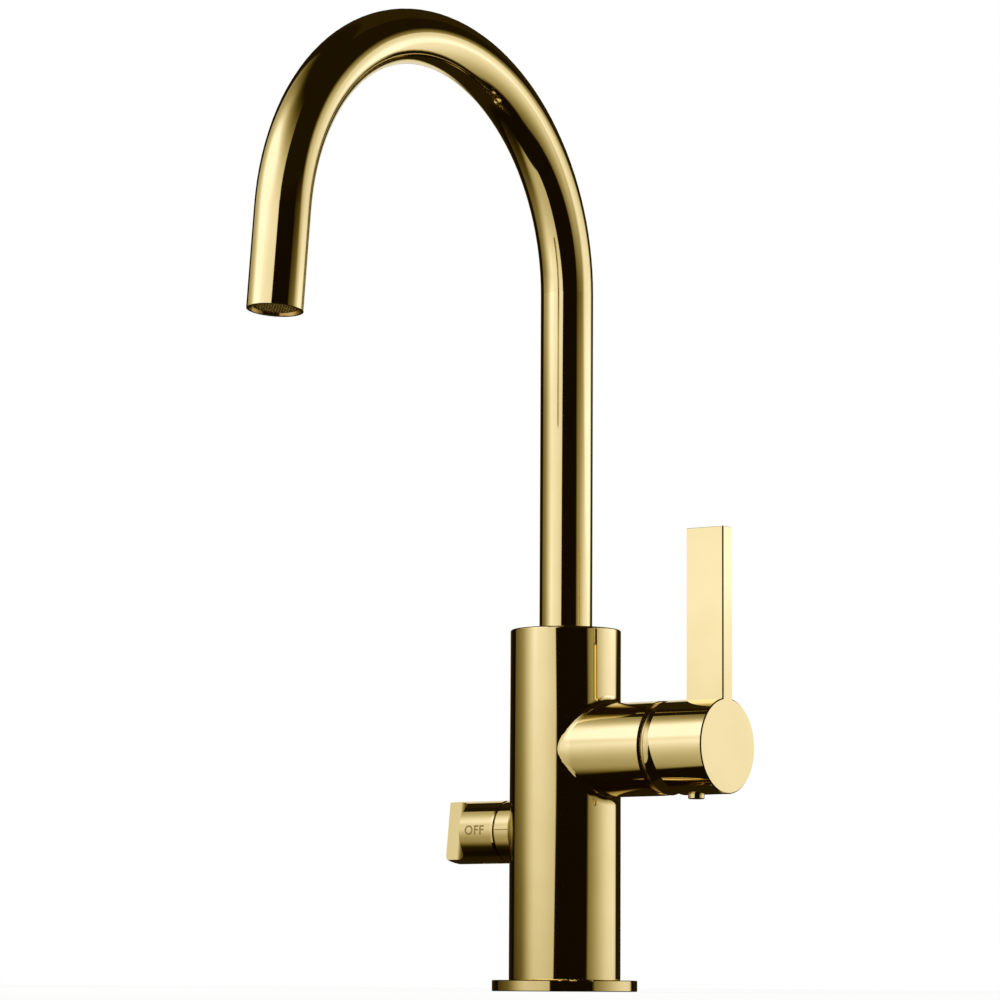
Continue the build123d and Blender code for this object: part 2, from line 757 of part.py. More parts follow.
def make_valve_spindle_orings():
    """Two rubber rings on the shut-off's spindle."""
    minor = valve_oring_thickness / 2
    major = valve_shaft_radius - minor
    return [valve_frame * torus_ring(major, minor, middle) for middle in spindle_seal_stations()]


def make_valve_circlip():
    """Spring clip that keeps the spindle in the headwork."""
    start = valve_neck_end + 2 * seated_fit
    inner = valve_shaft_radius - circlip_groove_depth + seated_fit
    clip = ring(inner + circlip_width, inner, start, start + circlip_thickness)
    reach = inner + circlip_width + overrun
    mouth = Box(reach, circlip_mouth, circlip_thickness * 3, align=(Align.MAX, Align.CENTER, Align.CENTER))
    clip -= Pos(0, 0, start) * mouth
    return valve_frame * clip


def make_valve_collar():
    """Brass cup between the column and the knob, shaped to the column."""
    cup = rod(knob_radius, 0, collar_end)
    cup += flank_flare(knob_radius, collar_flare, collar_flare_relief)
    cup = fillet(cup.edges().group_by(Axis.Z)[-1], collar_round)
    cup -= rod(valve_flange_radius + seated_fit, -overrun, collar_end - collar_web)
    cup -= rod(valve_neck_radius + seated_fit, 0, collar_end + overrun)
    return valve_frame * cup - rod(column_radius, flange_thickness, column_top)


def make_knob():
    """Thumb turn: round barrel, then two coved flats down to a thin grip."""
    knob = rod(knob_radius, knob_start, knob_end)
    inner_end = knob.faces().sort_by(Axis.Z)[0]
    knob = chamfer(inner_end.edges(), knob_rim_depth, knob_rim_length, reference=inner_end)
    cove_start = knob_start + knob_barrel
    for side in (0, 180):
        knob -= Rot(0, 0, side) * grip_cut(cove_start)
    knob &= grip_outline()
    knob -= rod(valve_shaft_radius + seated_fit, knob_start - overrun, valve_head_end + free_gap)
    knob -= rod(valve_neck_radius + free_gap, knob_start - overrun, valve_neck_end + 2 * circlip_thickness)
    back = Plane(origin=(0, 0, knob_screw_x()), x_dir=(0, 1, 0), z_dir=(-1, 0, 0))
    knob -= back * rod(knob_screw_radius + seated_fit, 0, knob_radius + overrun)
    return valve_frame * (Rot(0, 0, grip_clocking) * knob)


def knob_screw_x():
    """Place of the knob's screw along the valve's axis."""
    return valve_neck_end + knob_screw_inset


def grip_cut(cove_start):
    """Material milled off one side of the knob, with a coved run-out."""
    outward = (Align.MIN, Align.CENTER, Align.MIN)
    cut = Box(knob_radius * 2, knob_radius * 3, knob_length * 2, align=outward)
    cut = Pos(grip_half_thickness, 0, cove_start) * cut
    inner = cut.edges().filter_by(Axis.Y).sort_by(Axis.X)[0:2].sort_by(Axis.Z)[0]
    return fillet(inner, grip_cove_radius)


def grip_outline():
    """Side view of the knob, with a larger round at its lower outer corner."""
    length = knob_end - knob_start
    slab = Box(knob_radius * 3, knob_radius * 2, length, align=base_up)
    slab = Pos(0, 0, knob_start) * slab
    outer = slab.edges().filter_by(Axis.X).group_by(Axis.Z)[-1].sort_by(Axis.Y)
    slab = fillet(outer[0], grip_outer_round)
    outer = slab.edges().filter_by(Axis.X).group_by(Axis.Z)[-1].sort_by(Axis.Y)
    return fillet(outer[-1], grip_inner_round)


def make_knob_screw():
    """Grub screw at the back of the knob, on the spindle's flat."""
    back = Plane(origin=(0, 0, knob_screw_x()), x_dir=(0, 1, 0), z_dir=(-1, 0, 0))
    head = knob_radius - knob_screw_sunk
    screw = rod(knob_screw_radius, valve_head_flat, head)
    screw -= hex_socket(knob_screw_radius, head, knob_socket_depth)
    return valve_frame * (Rot(0, 0, grip_clocking) * (back * screw))


pieces = {
    "column": make_column,
    "base_flange": make_base_flange,
    "base_gasket": make_base_gasket,
    "cartridge_base": make_cartridge_base,
    "cartridge_port_seals": make_port_seals,
    "disc_gasket": make_disc_gasket,
    "fixed_disc": make_fixed_disc,
    "cartridge_housing": make_housing,
    "cartridge_nut": make_cartridge_nut,
    "groove_ring": make_groove_ring,
    "dome_collar": make_dome_collar,
    "spout_stop_screw": make_stop_screw,
    "valve_headwork": make_valve_headwork,
    "valve_seat_seal": make_valve_seat_seal,
    "valve_fixed_disc": make_valve_fixed_disc,
    "valve_collar": make_valve_collar,
    "cartridge_rotor": make_rotor,
    "rotor_pin": make_rotor_pin,
    "disc_carrier": make_disc_carrier,
    "moving_disc": make_moving_disc,
    "lever": make_lever,
    "cartridge_spindle": make_spindle,
    "lever_screw": make_lever_screw,
    "spout_tube": make_spout_tube,
    "spout_foot": make_spout_foot,
    "spout_orings": make_spout_orings,
    "spout_slide_rings": make_slide_rings,
    "aerator_housing": make_aerator_housing,
    "aerator_insert": make_aerator_insert,
    "aerator_seal": make_aerator_seal,
    "shutoff_knob": make_knob,
    "valve_spindle": make_valve_spindle,
    "valve_spindle_orings": make_valve_spindle_orings,
    "valve_moving_disc": make_valve_moving_disc,
    "valve_circlip": make_valve_circlip,
    "knob_screw": make_knob_screw,
}

os.makedirs("parts", exist_ok=True)
for name, make in pieces.items():
    piece = make()
    if isinstance(piece, list):
        piece = Compound(children=piece)
    export_step(piece, f"parts/{name}.step")
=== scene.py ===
import bmesh
import bpy
import json
from math import cos, pi, radians, sin, sqrt
from mathutils import Matrix, Vector


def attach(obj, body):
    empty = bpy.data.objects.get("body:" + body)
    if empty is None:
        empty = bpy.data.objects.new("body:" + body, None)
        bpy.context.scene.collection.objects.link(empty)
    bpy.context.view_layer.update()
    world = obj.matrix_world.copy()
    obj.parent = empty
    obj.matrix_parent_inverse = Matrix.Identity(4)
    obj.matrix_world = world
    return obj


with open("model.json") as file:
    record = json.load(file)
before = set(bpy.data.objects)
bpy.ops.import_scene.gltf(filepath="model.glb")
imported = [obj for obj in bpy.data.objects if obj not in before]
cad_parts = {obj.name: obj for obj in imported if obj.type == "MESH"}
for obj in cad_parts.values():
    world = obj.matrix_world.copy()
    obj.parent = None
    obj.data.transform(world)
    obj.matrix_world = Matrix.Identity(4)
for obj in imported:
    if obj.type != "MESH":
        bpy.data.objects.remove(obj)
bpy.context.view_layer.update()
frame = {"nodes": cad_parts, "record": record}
mm = 0.001
print("frame loaded:", len(frame["nodes"]), "nodes")


def toLinear(code):  # sRGB hex, as a colour picker gives it
    channels = [int(code[i:i + 2], 16) / 255 for i in (1, 3, 5)]
    return [c / 12.92 if c <= 0.04045 else ((c + 0.055) / 1.055) ** 2.4 for c in channels] + [1.0]


def addNode(tree, kind, inputs=None, **settings):  # inputs may be values or other nodes' sockets
    node = tree.nodes.new(kind)
    for name, value in settings.items():
        setattr(node, name, value)
    for key, value in (inputs or {}).items():
        if isinstance(value, bpy.types.NodeSocket):
            tree.links.new(value, node.inputs[key])
        else:
            node.inputs[key].default_value = value
    return node


# What each finish is, how it was made and what that gives the eye. Its cloud is the size in mm of
# patches that change to the other colour and roughness. A relief is its kind, the size of its
# pattern and how deep it is, both in mm. Buffing marks, lathe grooves and mould grain are finer
# than a render can show, so they are drawn as coarse as they need to be
finishes = {
    # Brass, cast or turned and then buffed on a wheel: a mirror in pale gold, with faint clouds
    # of duller metal, long waves that bend a reflection a little, and hair lines
    "polishedBrass": {
        "colour": "#FAE7B2", "otherColour": "#F6E2AB", "metallic": 1.0,
        "roughness": 0.03, "otherRoughness": 0.055,
        "cloud": 22, "relief": (("noise", 70, 0.2), ("noise", 0.5, 0.00006)),
    },
    # Brass as it leaves the lathe, along X or Z: half bright, with a fine groove for each turn
    "turnedBrassAlongX": {
        "colour": "#E9CF92", "otherColour": "#C9A865", "metallic": 1.0,
        "roughness": 0.16, "otherRoughness": 0.3,
        "cloud": 9, "relief": (("X", 0.35, 0.002),),
    },
    "turnedBrassAlongZ": {
        "colour": "#E9CF92", "otherColour": "#C9A865", "metallic": 1.0,
        "roughness": 0.16, "otherRoughness": 0.3,
        "cloud": 9, "relief": (("Z", 0.35, 0.002),),
    },
    # Brass wire, drawn and woven: bright lines on rounded wires that dull to olive in the gaps
    "drawnBrassWire": {
        "colour": "#C9B06C", "otherColour": "#8E7838", "metallic": 1.0,
        "roughness": 0.22, "otherRoughness": 0.4,
        "cloud": 2, "relief": (("noise", 0.2, 0.0005),),
    },
    # Brass burnt by an engraving laser: a thin brown crust that scatters light, so it reads at
    # any angle
    "etchedBrass": {
        "colour": "#A08648", "otherColour": "#8A7138",
        "roughness": 0.6, "otherRoughness": 0.75,
        "cloud": 0.25, "relief": (("noise", 0.12, 0.004),),
    },
    # Stainless steel, ground: cool grey with a satin face
    "groundSteel": {
        "colour": "#C8C7C2", "otherColour": "#A9A8A3", "metallic": 1.0,
        "roughness": 0.22, "otherRoughness": 0.38,
        "cloud": 3, "relief": (("noise", 0.12, 0.001),),
    },
    # Alumina discs, fired and lapped flat: off-white, hard and glossy like a glazed tile
    "lappedCeramic": {
        "colour": "#EFECE3", "otherColour": "#E6E2D6", "ior": 1.76,
        "roughness": 0.08, "otherRoughness": 0.16,
        "cloud": 6, "relief": (("noise", 0.2, 0.0002),),
    },
    # Acetal, moulded in a spark-eroded tool: light grey with a low, even sheen
    "mouldedAcetal": {
        "colour": "#C6C6C1", "otherColour": "#BBBBB5", "ior": 1.48,
        "roughness": 0.32, "otherRoughness": 0.45,
        "cloud": 5, "relief": (("noise", 0.15, 0.002),),
    },
    # Fluoroplastic rings, turned from rod: milky white, waxy and almost without shine
    "turnedFluoroplastic": {
        "colour": "#ECEAE0", "otherColour": "#E2DFD2", "ior": 1.38,
        "roughness": 0.45, "otherRoughness": 0.6,
        "cloud": 4, "relief": (("noise", 0.3, 0.003),),
    },
    # Acetal with dark pigment, moulded: brown-grey, with a low sheen that water has polished
    "darkAcetal": {
        "colour": "#55524C", "otherColour": "#494640", "ior": 1.48,
        "roughness": 0.3, "otherRoughness": 0.42,
        "cloud": 2, "relief": (("noise", 0.15, 0.002),),
    },
    # Nitrile rubber rings, moulded and greased at assembly: near black, with a soft, broken shine
    "nitrileRubber": {
        "colour": "#232322", "otherColour": "#2B2B29", "ior": 1.52,
        "roughness": 0.5, "otherRoughness": 0.7,
        "cloud": 5, "relief": (("noise", 0.2, 0.006),),
    },
}
# Shared by all finishes: the noise values between which a cloud fades, how much fine detail clouds
# and reliefs have, and how far a lathe's grooves wander
patternLook = {
    "cloudLow": 0.3, "cloudHigh": 0.7, "cloudDetail": 3, "reliefDetail": 1, "wander": 0.3,
}


def makeFinish(name):
    look = finishes[name]
    material = bpy.data.materials.new(name)
    material.use_nodes = True
    tree = material.node_tree
    tree.nodes.clear()
    place = addNode(tree, "ShaderNodeTexCoord").outputs["Object"]
    cloud = addNode(tree, "ShaderNodeTexNoise", {
        "Vector": place, "Scale": 1 / (look["cloud"] * mm), "Detail": patternLook["cloudDetail"],
    })
    share = addNode(tree, "ShaderNodeMapRange", {
        "Value": cloud.outputs["Fac"],
        "From Min": patternLook["cloudLow"], "From Max": patternLook["cloudHigh"],
    })
    tone = addNode(tree, "ShaderNodeMix", {
        0: share.outputs[0], 6: toLinear(look["colour"]), 7: toLinear(look["otherColour"]),
    }, data_type="RGBA")
    rough = addNode(tree, "ShaderNodeMapRange", {
        "Value": share.outputs[0], "To Min": look["roughness"], "To Max": look["otherRoughness"],
    })
    normal = None
    for kind, size, depth in look["relief"]:
        if kind == "noise":
            height = addNode(tree, "ShaderNodeTexNoise", {
                "Vector": place, "Scale": 1 / (size * mm), "Detail": patternLook["reliefDetail"],
            })
        else:  # a wave texture repeats every pi / 10 at scale 1
            height = addNode(tree, "ShaderNodeTexWave", {
                "Vector": place, "Scale": pi / 10 / (size * mm),
                "Distortion": patternLook["wander"],
            }, wave_type="BANDS", bands_direction=kind)
        raised = {"Height": height.outputs["Fac"], "Distance": depth * mm}
        if normal:
            raised["Normal"] = normal
        normal = addNode(tree, "ShaderNodeBump", raised).outputs[0]
    shader = addNode(tree, "ShaderNodeBsdfPrincipled", {
        "Base Color": tone.outputs[2], "Metallic": look.get("metallic", 0.0),
        "Roughness": rough.outputs[0], "IOR": look.get("ior", 1.5), "Normal": normal,
    })
    addNode(tree, "ShaderNodeOutputMaterial", {"Surface": shader.outputs[0]})
    return material


materials = {name: makeFinish(name) for name in finishes}
slotMaterials = {
    "polished_brass": "polishedBrass", "turned_brass": "turnedBrassAlongX",
    "screw_steel": "groundSteel", "disc_ceramic": "lappedCeramic",
    "cartridge_plastic": "mouldedAcetal", "slide_plastic": "turnedFluoroplastic",
    "strainer_plastic": "darkAcetal", "black_rubber": "nitrileRubber",
}
turnedAlongZ = ("spout_foot", "aerator_housing")
for part in frame["record"]["subparts"]:
    choice = slotMaterials[part["material_slot"]]
    if part["node"] in turnedAlongZ:
        choice = "turnedBrassAlongZ"
    node = frame["nodes"][part["node"]]
    node.data.materials.clear()
    node.data.materials.append(materials[choice])
print("materials set:", len(materials))


def finishPiece(name, mesh, material, body):  # one new mesh piece, riding on its CAD body
    piece = bpy.data.objects.new(name, mesh)
    bpy.context.scene.collection.objects.link(piece)
    mesh.materials.clear()
    mesh.materials.append(material)
    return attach(piece, body)


# Words etched round the knob's barrel and the pointer line on its collar, in mm. Places along the
# valve are X, and heights are above its axis, measured round the barrel. The first four values are
# the solid's own. ON sits a quarter turn from OFF, in degrees. Points of a letter that are nearer
# than the weld, a share of the type's size, become one
etching = {
    "axisHeight": 71.7, "barrelRadius": 14.25, "flareStart": 22.0, "flareRadius": 3.5,
    "letterHeight": 4.4, "wordCentre": -40.8, "wordHeight": 0.6, "spacing": 1.1, "boldness": 0.025,
    "offTurn": 0, "onTurn": -90, "curveSteps": 6, "slices": 14, "weld": 0.00001,
    "lineStart": -29.2, "lineEnd": -20.6, "lineWidth": 0.5, "lineHeight": 0.5, "lineSteps": 24,
    "sunk": 0.12, "proud": 0.02,
}


def wrapOnBarrel(bm, turnDegrees):  # flat outline, X along the valve and Y up, onto the barrel
    radius, flare = etching["barrelRadius"], etching["flareRadius"]
    for vert in bm.verts:
        angle = vert.co.y / radius + radians(turnDegrees)
        inward = max(etching["flareStart"] + vert.co.x, 0)  # the collar swells beside the column
        swell = flare - sqrt(flare ** 2 - inward ** 2)
        reach = radius + swell + vert.co.z
        across, height = -reach * cos(angle), etching["axisHeight"] + reach * sin(angle)
        vert.co = Vector((vert.co.x * mm, across * mm, height * mm))


def thickenOutline(bm):  # flat faces to a thin slab that starts inside the metal
    bmesh.ops.translate(bm, vec=(0, 0, -etching["sunk"]), verts=bm.verts)
    grown = bmesh.ops.extrude_face_region(bm, geom=bm.faces[:])
    top = [item for item in grown["geom"] if isinstance(item, bmesh.types.BMVert)]
    bmesh.ops.translate(bm, vec=(0, 0, etching["sunk"] + etching["proud"]), verts=top)
    bmesh.ops.recalc_face_normals(bm, faces=bm.faces)


def etchedWord(name, text, turnDegrees):
    curve = bpy.data.curves.new(name, "FONT")
    curve.body = text
    curve.align_x = "CENTER"
    curve.align_y = "CENTER"
    curve.space_character = etching["spacing"]
    curve.offset = etching["boldness"]
    curve.resolution_u = etching["curveSteps"]
    writer = bpy.data.objects.new(name + "Writer", curve)
    bpy.context.scene.collection.objects.link(writer)
    depsgraph = bpy.context.evaluated_depsgraph_get()
    flat = bpy.data.meshes.new_from_object(writer.evaluated_get(depsgraph))
    bpy.data.objects.remove(writer)
    bm = bmesh.new()
    bm.from_mesh(flat)
    bmesh.ops.remove_doubles(bm, verts=bm.verts, dist=etching["weld"])
    low = min(vert.co.y for vert in bm.verts)
    high = max(vert.co.y for vert in bm.verts)
    size = etching["letterHeight"] / (high - low)
    bmesh.ops.translate(bm, vec=(0, -(low + high) / 2, 0), verts=bm.verts)
    bmesh.ops.scale(bm, vec=(size, size, size), verts=bm.verts)
    for step in range(1, etching["slices"]):  # rows of edges, so that the word can bend
        level = etching["letterHeight"] * (step / etching["slices"] - 0.5)
        everything = bm.verts[:] + bm.edges[:] + bm.faces[:]
        bmesh.ops.bisect_plane(bm, geom=everything, plane_co=(0, level, 0), plane_no=(0, 1, 0))
    middle = (etching["wordCentre"], etching["wordHeight"], 0)
    bmesh.ops.translate(bm, vec=middle, verts=bm.verts)
    thickenOutline(bm)
    wrapOnBarrel(bm, turnDegrees)
    bm.to_mesh(flat)
    bm.free()
    return finishPiece(name, flat, materials["etchedBrass"], "shutoff")


def pointerLine(name):
    length = etching["lineEnd"] - etching["lineStart"]
    middle = (etching["lineStart"] + etching["lineEnd"]) / 2
    bm = bmesh.new()
    bmesh.ops.create_grid(bm, x_segments=etching["lineSteps"], y_segments=2, size=0.5)
    bmesh.ops.scale(bm, vec=(length, etching["lineWidth"], 1), verts=bm.verts)
    bmesh.ops.translate(bm, vec=(middle, etching["lineHeight"], 0), verts=bm.verts)
    thickenOutline(bm)
    wrapOnBarrel(bm, etching["offTurn"])  # in line with OFF while the valve is shut
    mesh = bpy.data.meshes.new(name)
    bm.to_mesh(mesh)
    bm.free()
    return finishPiece(name, mesh, materials["etchedBrass"], "root")


etchedWord("word_off", "OFF", etching["offTurn"])
etchedWord("word_on", "ON", etching["onTurn"])  # comes to the front when the valve is open
pointerLine("pointer_line")
print("etched words and pointer line made")


# Disc of woven wire over the aerator's face, in mm. The spout's bend and tail, the first four
# values, repeat the solid's and give the place of its end. Each wire swings over and under the ones
# that it crosses, in steps along its length
strainer = {
    "bendStart": 315.0, "bendRadius": 100.0, "bendSweep": 174.5, "tailLength": 44.0,
    "depth": 1.35, "radius": 8.7, "wireRadius": 0.13, "pitch": 0.78, "sides": 6,
    "stepsPerPitch": 4, "shortestStep": 0.000001,
}


def outletMatrix():  # local Z runs back up the tube from the middle of its end
    turn = radians(strainer["bendSweep"])
    reach = strainer["bendRadius"]
    y = -reach + reach * cos(turn) - strainer["tailLength"] * sin(turn)
    z = strainer["bendStart"] + reach * sin(turn) + strainer["tailLength"] * cos(turn)
    inward = Vector((0, sin(turn), -cos(turn)))
    across = Vector((1, 0, 0))
    turned = Matrix((across, inward.cross(across), inward)).transposed().to_4x4()
    return Matrix.Translation((0, y * mm, z * mm)) @ turned


def swungWire(bm, line, direction):  # one wire along X, which direction 1 turns along Y
    look = strainer
    step = look["pitch"] / look["stepsPerPitch"]
    offset = line * look["pitch"]
    half = sqrt(look["radius"] ** 2 - offset ** 2)
    ring = bmesh.ops.create_circle(bm, segments=look["sides"], radius=look["wireRadius"])["verts"]
    bmesh.ops.transform(bm, matrix=Matrix.Rotation(pi / 2, 4, "Y"), verts=ring)
    bmesh.ops.translate(bm, vec=(-half, offset, 0), verts=ring)
    wire = list(ring)
    edges = list(dict.fromkeys(edge for vert in ring for edge in vert.link_edges))
    reached, height = -half, 0
    while reached < half - look["shortestStep"]:
        move = min(step, half - reached)
        reached += move
        phase = pi * reached / look["pitch"] + pi * line + pi * direction
        swing = look["wireRadius"] * cos(phase)
        grown = bmesh.ops.extrude_edge_only(bm, edges=edges)["geom"]
        ring = [item for item in grown if isinstance(item, bmesh.types.BMVert)]
        edges = [item for item in grown if isinstance(item, bmesh.types.BMEdge)]
        edges = [edge for edge in edges if all(vert in ring for vert in edge.verts)]
        bmesh.ops.translate(bm, vec=(move, 0, swing - height), verts=ring)
        wire += ring
        height = swing
    if direction:
        bmesh.ops.rotate(bm, matrix=Matrix.Rotation(pi / 2, 3, "Z"), verts=wire)


def wovenWire(name):
    bm = bmesh.new()
    count = int(strainer["radius"] / strainer["pitch"])
    for direction in (0, 1):
        for line in range(-count, count + 1):
            swungWire(bm, line, direction)
    bmesh.ops.translate(bm, vec=(0, 0, strainer["depth"]), verts=bm.verts)
    bmesh.ops.scale(bm, vec=(mm, mm, mm), verts=bm.verts)
    bmesh.ops.transform(bm, matrix=outletMatrix(), verts=bm.verts)
    bmesh.ops.recalc_face_normals(bm, faces=bm.faces)
    for face in bm.faces:
        face.smooth = True
    mesh = bpy.data.meshes.new(name)
    bm.to_mesh(mesh)
    bm.free()
    return finishPiece(name, mesh, materials["drawnBrassWire"], "spout")


wovenWire("strainer_mesh")
print("strainer made")


# Floor: matt white laminate with faint clouds in mm, fading into the white background in metres.
# Its paleness is the share that is white by itself and takes no shadow
floorLook = {
    "radius": 6.0, "segments": 96, "colour": "#FBFBFA", "otherColour": "#F6F6F4", "cloud": 40,
    "fadeStart": 1.2, "fadeEnd": 4.5, "paleness": 0.7,
}


def makeFloor():
    look = floorLook
    bm = bmesh.new()
    bmesh.ops.create_circle(bm, cap_ends=True, segments=look["segments"], radius=look["radius"])
    mesh = bpy.data.meshes.new("floor")
    bm.to_mesh(mesh)
    bm.free()
    floor = bpy.data.objects.new("floor", mesh)
    bpy.context.scene.collection.objects.link(floor)
    material = bpy.data.materials.new("mattLaminate")
    material.use_nodes = True
    tree = material.node_tree
    tree.nodes.clear()
    place = addNode(tree, "ShaderNodeTexCoord").outputs["Object"]
    cloud = addNode(tree, "ShaderNodeTexNoise", {
        "Vector": place, "Scale": 1 / (look["cloud"] * mm),
    })
    tone = addNode(tree, "ShaderNodeMix", {
        0: cloud.outputs["Fac"], 6: toLinear(look["colour"]), 7: toLinear(look["otherColour"]),
    }, data_type="RGBA")
    board = addNode(tree, "ShaderNodeBsdfDiffuse", {"Color": tone.outputs[2]})
    away = addNode(tree, "ShaderNodeVectorMath", {0: place}, operation="LENGTH")
    fade = addNode(tree, "ShaderNodeMapRange", {
        "Value": away.outputs["Value"], "From Min": look["fadeStart"], "From Max": look["fadeEnd"],
        "To Min": look["paleness"],
    }, interpolation_type="SMOOTHSTEP")
    white = addNode(tree, "ShaderNodeEmission", {"Color": (1, 1, 1, 1), "Strength": 1.0})
    blend = addNode(tree, "ShaderNodeMixShader", {
        0: fade.outputs[0], 1: board.outputs[0], 2: white.outputs[0],
    })
    addNode(tree, "ShaderNodeOutputMaterial", {"Surface": blend.outputs[0]})
    mesh.materials.append(material)
    floor.visible_glossy = False


# World: white where the camera or a clear reflection sees it, and an even soft light for all else
worldLook = {"light": 0.86}


def makeWorld():
    world = bpy.data.worlds.new("studio")
    bpy.context.scene.world = world
    world.use_nodes = True
    tree = world.node_tree
    tree.nodes.clear()
    path = addNode(tree, "ShaderNodeLightPath")
    seen = path.outputs["Is Camera Ray"]
    for name in ("Is Glossy Ray", "Is Transmission Ray"):
        seen = addNode(tree, "ShaderNodeMath", {
            0: seen, 1: path.outputs[name],
        }, operation="MAXIMUM").outputs[0]
    light = addNode(tree, "ShaderNodeBackground", {
        "Color": (1, 1, 1, 1), "Strength": worldLook["light"],
    })
    white = addNode(tree, "ShaderNodeBackground", {"Color": (1, 1, 1, 1), "Strength": 1.0})
    mix = addNode(tree, "ShaderNodeMixShader", {0: seen, 1: light.outputs[0], 2: white.outputs[0]})
    addNode(tree, "ShaderNodeOutputWorld", {"Surface": mix.outputs[0]})


# Light tent round the tap, which shows only in reflections: dark cloth with lit windows, and a roof
# lower than it is wide. Sizes are in metres. The two powers make its dim light warmer, because that
# has bounced off brass and off the deck
tentLook = {
    "centre": (0.12, -0.085, 0.26), "radius": 0.86, "squeeze": 1.6, "segments": 128, "rings": 64,
    "cloth": 0.0038, "brightest": 1.25, "redPower": 0.9, "bluePower": 1.5,
}
# Its windows, in degrees of azimuth and elevation seen from its centre. Azimuth 0 is the side of
# the user and 90 that of the lever. A window is a rectangle with round corners and soft edges, and
# may lean. Its even light fills it, its panes add light that grows between two angles, and its
# lamps are soft spots: azimuth, elevation, width, height, brightness. Its ramps darken all of it
# towards one side. X is azimuth, Y is elevation, and the dark angle comes before the bright one
windows = {
    "left": {
        "low": (-94.4, -64), "high": (9.9, 72), "corner": 17, "soft": 1.2, "lean": 0.127,
        "ramps": (("Y", 72, 46),),
        "panes": ((0.457, ("X", -75.5, -37.4)), (0.34, ("X", -26, -50), ("Y", 8, 30))),
        "lamps": (
            (-33.4, 2.4, 49.5, 32.6, 0.49), (-38, 46, 25, 20, 1.05), (8, 30, 22, 18, 0.3),
            (-46, 24, 10, 9, 0.2), (-40, 0, 7, 8, 0.11), (-60, -55, 9, 12, 0.12),
        ),
    },
    "right": {
        "low": (87, -66), "high": (173, 90), "corner": 9, "soft": 4, "lean": -0.05, "even": 0.05,
        "ramps": (("Y", 42, 2),),
        "lamps": ((157.8, -7.9, 50.7, 50.3, 0.91), (135, 0, 25, 9, 0.12)),
    },
    "rightLamp": {
        "low": (137, 0), "high": (195, 46), "corner": 20, "soft": 9, "lean": -0.6, "even": 0.62,
    },
    "behind": {"low": (-152, -14), "high": (-128, 26), "corner": 8, "soft": 5, "even": 0.75},
    "roof": {"low": (-180, 42), "high": (180, 90), "soft": 12, "even": 0.008},
    "back": {"low": (-173.4, -90), "high": (-113.4, 90), "soft": 10, "even": 0.015},
}


def rampLight(tree, split, ramps, light):  # light times each ramp from dark to bright
    for axis, dark, bright in ramps:
        ramp = addNode(tree, "ShaderNodeMapRange", {
            "Value": split.outputs[axis], "From Min": dark, "From Max": bright,
        }, interpolation_type="SMOOTHSTEP")
        light = addNode(tree, "ShaderNodeMath", {
            0: ramp.outputs[0], 1: light,
        }, operation="MULTIPLY").outputs[0]
    return light


def lampLight(tree, place, lamp, light):  # light plus one soft spot
    azimuth, elevation, width, height, brightness = lamp
    offset = addNode(tree, "ShaderNodeVectorMath", {
        0: place, 1: (azimuth, elevation, 0),
    }, operation="SUBTRACT")
    scaled = addNode(tree, "ShaderNodeVectorMath", {
        0: offset.outputs[0], 1: (width, height, 1),
    }, operation="DIVIDE")
    square = addNode(tree, "ShaderNodeVectorMath", {
        0: scaled.outputs[0], 1: scaled.outputs[0],
    }, operation="DOT_PRODUCT")
    fall = addNode(tree, "ShaderNodeMath", {
        0: square.outputs["Value"], 1: -1.0,
    }, operation="MULTIPLY")
    bell = addNode(tree, "ShaderNodeMath", {0: fall.outputs[0]}, operation="EXPONENT")
    total = addNode(tree, "ShaderNodeMath", {
        0: bell.outputs[0], 1: brightness, 2: light,
    }, operation="MULTIPLY_ADD")
    return total.outputs[0]


def windowEdge(tree, split, look):  # 1 inside the window, 0 outside it
    low, high = Vector(look["low"] + (0,)), Vector(look["high"] + (0,))
    corner, soft = look.get("corner", 0), look["soft"]
    shift = addNode(tree, "ShaderNodeMath", {
        0: split.outputs["Y"], 1: -look.get("lean", 0), 2: split.outputs["X"],
    }, operation="MULTIPLY_ADD")
    reach = addNode(tree, "ShaderNodeCombineXYZ", {
        "X": shift.outputs[0], "Y": split.outputs["Y"],
    }).outputs[0]
    middle = (low + high) / 2
    core = (high - low) / 2 - Vector((corner, corner, 0))
    for operation, amount in (  # how far a place is past the centres of the corners
        ("SUBTRACT", middle), ("ABSOLUTE", None), ("SUBTRACT", core), ("MAXIMUM", Vector()),
    ):
        inputs = {0: reach} if amount is None else {0: reach, 1: amount}
        reach = addNode(tree, "ShaderNodeVectorMath", inputs, operation=operation).outputs[0]
    outside = addNode(tree, "ShaderNodeVectorMath", {0: reach}, operation="LENGTH")
    return addNode(tree, "ShaderNodeMapRange", {
        "Value": outside.outputs["Value"], "From Min": corner + soft, "From Max": corner - soft,
    }, interpolation_type="SMOOTHSTEP").outputs[0]


def windowLight(tree, place, look):  # brightness of one window at a place on the tent
    split = addNode(tree, "ShaderNodeSeparateXYZ", {0: place})
    total = look.get("even", 0.0)
    for strength, *ramps in look.get("panes", ()):
        pane = rampLight(tree, split, ramps, strength)
        total = addNode(tree, "ShaderNodeMath", {0: pane, 1: total}, operation="ADD").outputs[0]
    for lamp in look.get("lamps", ()):
        total = lampLight(tree, place, lamp, total)
    edge = windowEdge(tree, split, look)
    total = addNode(tree, "ShaderNodeMath", {0: edge, 1: total}, operation="MULTIPLY").outputs[0]
    return rampLight(tree, split, look.get("ramps", ()), total)


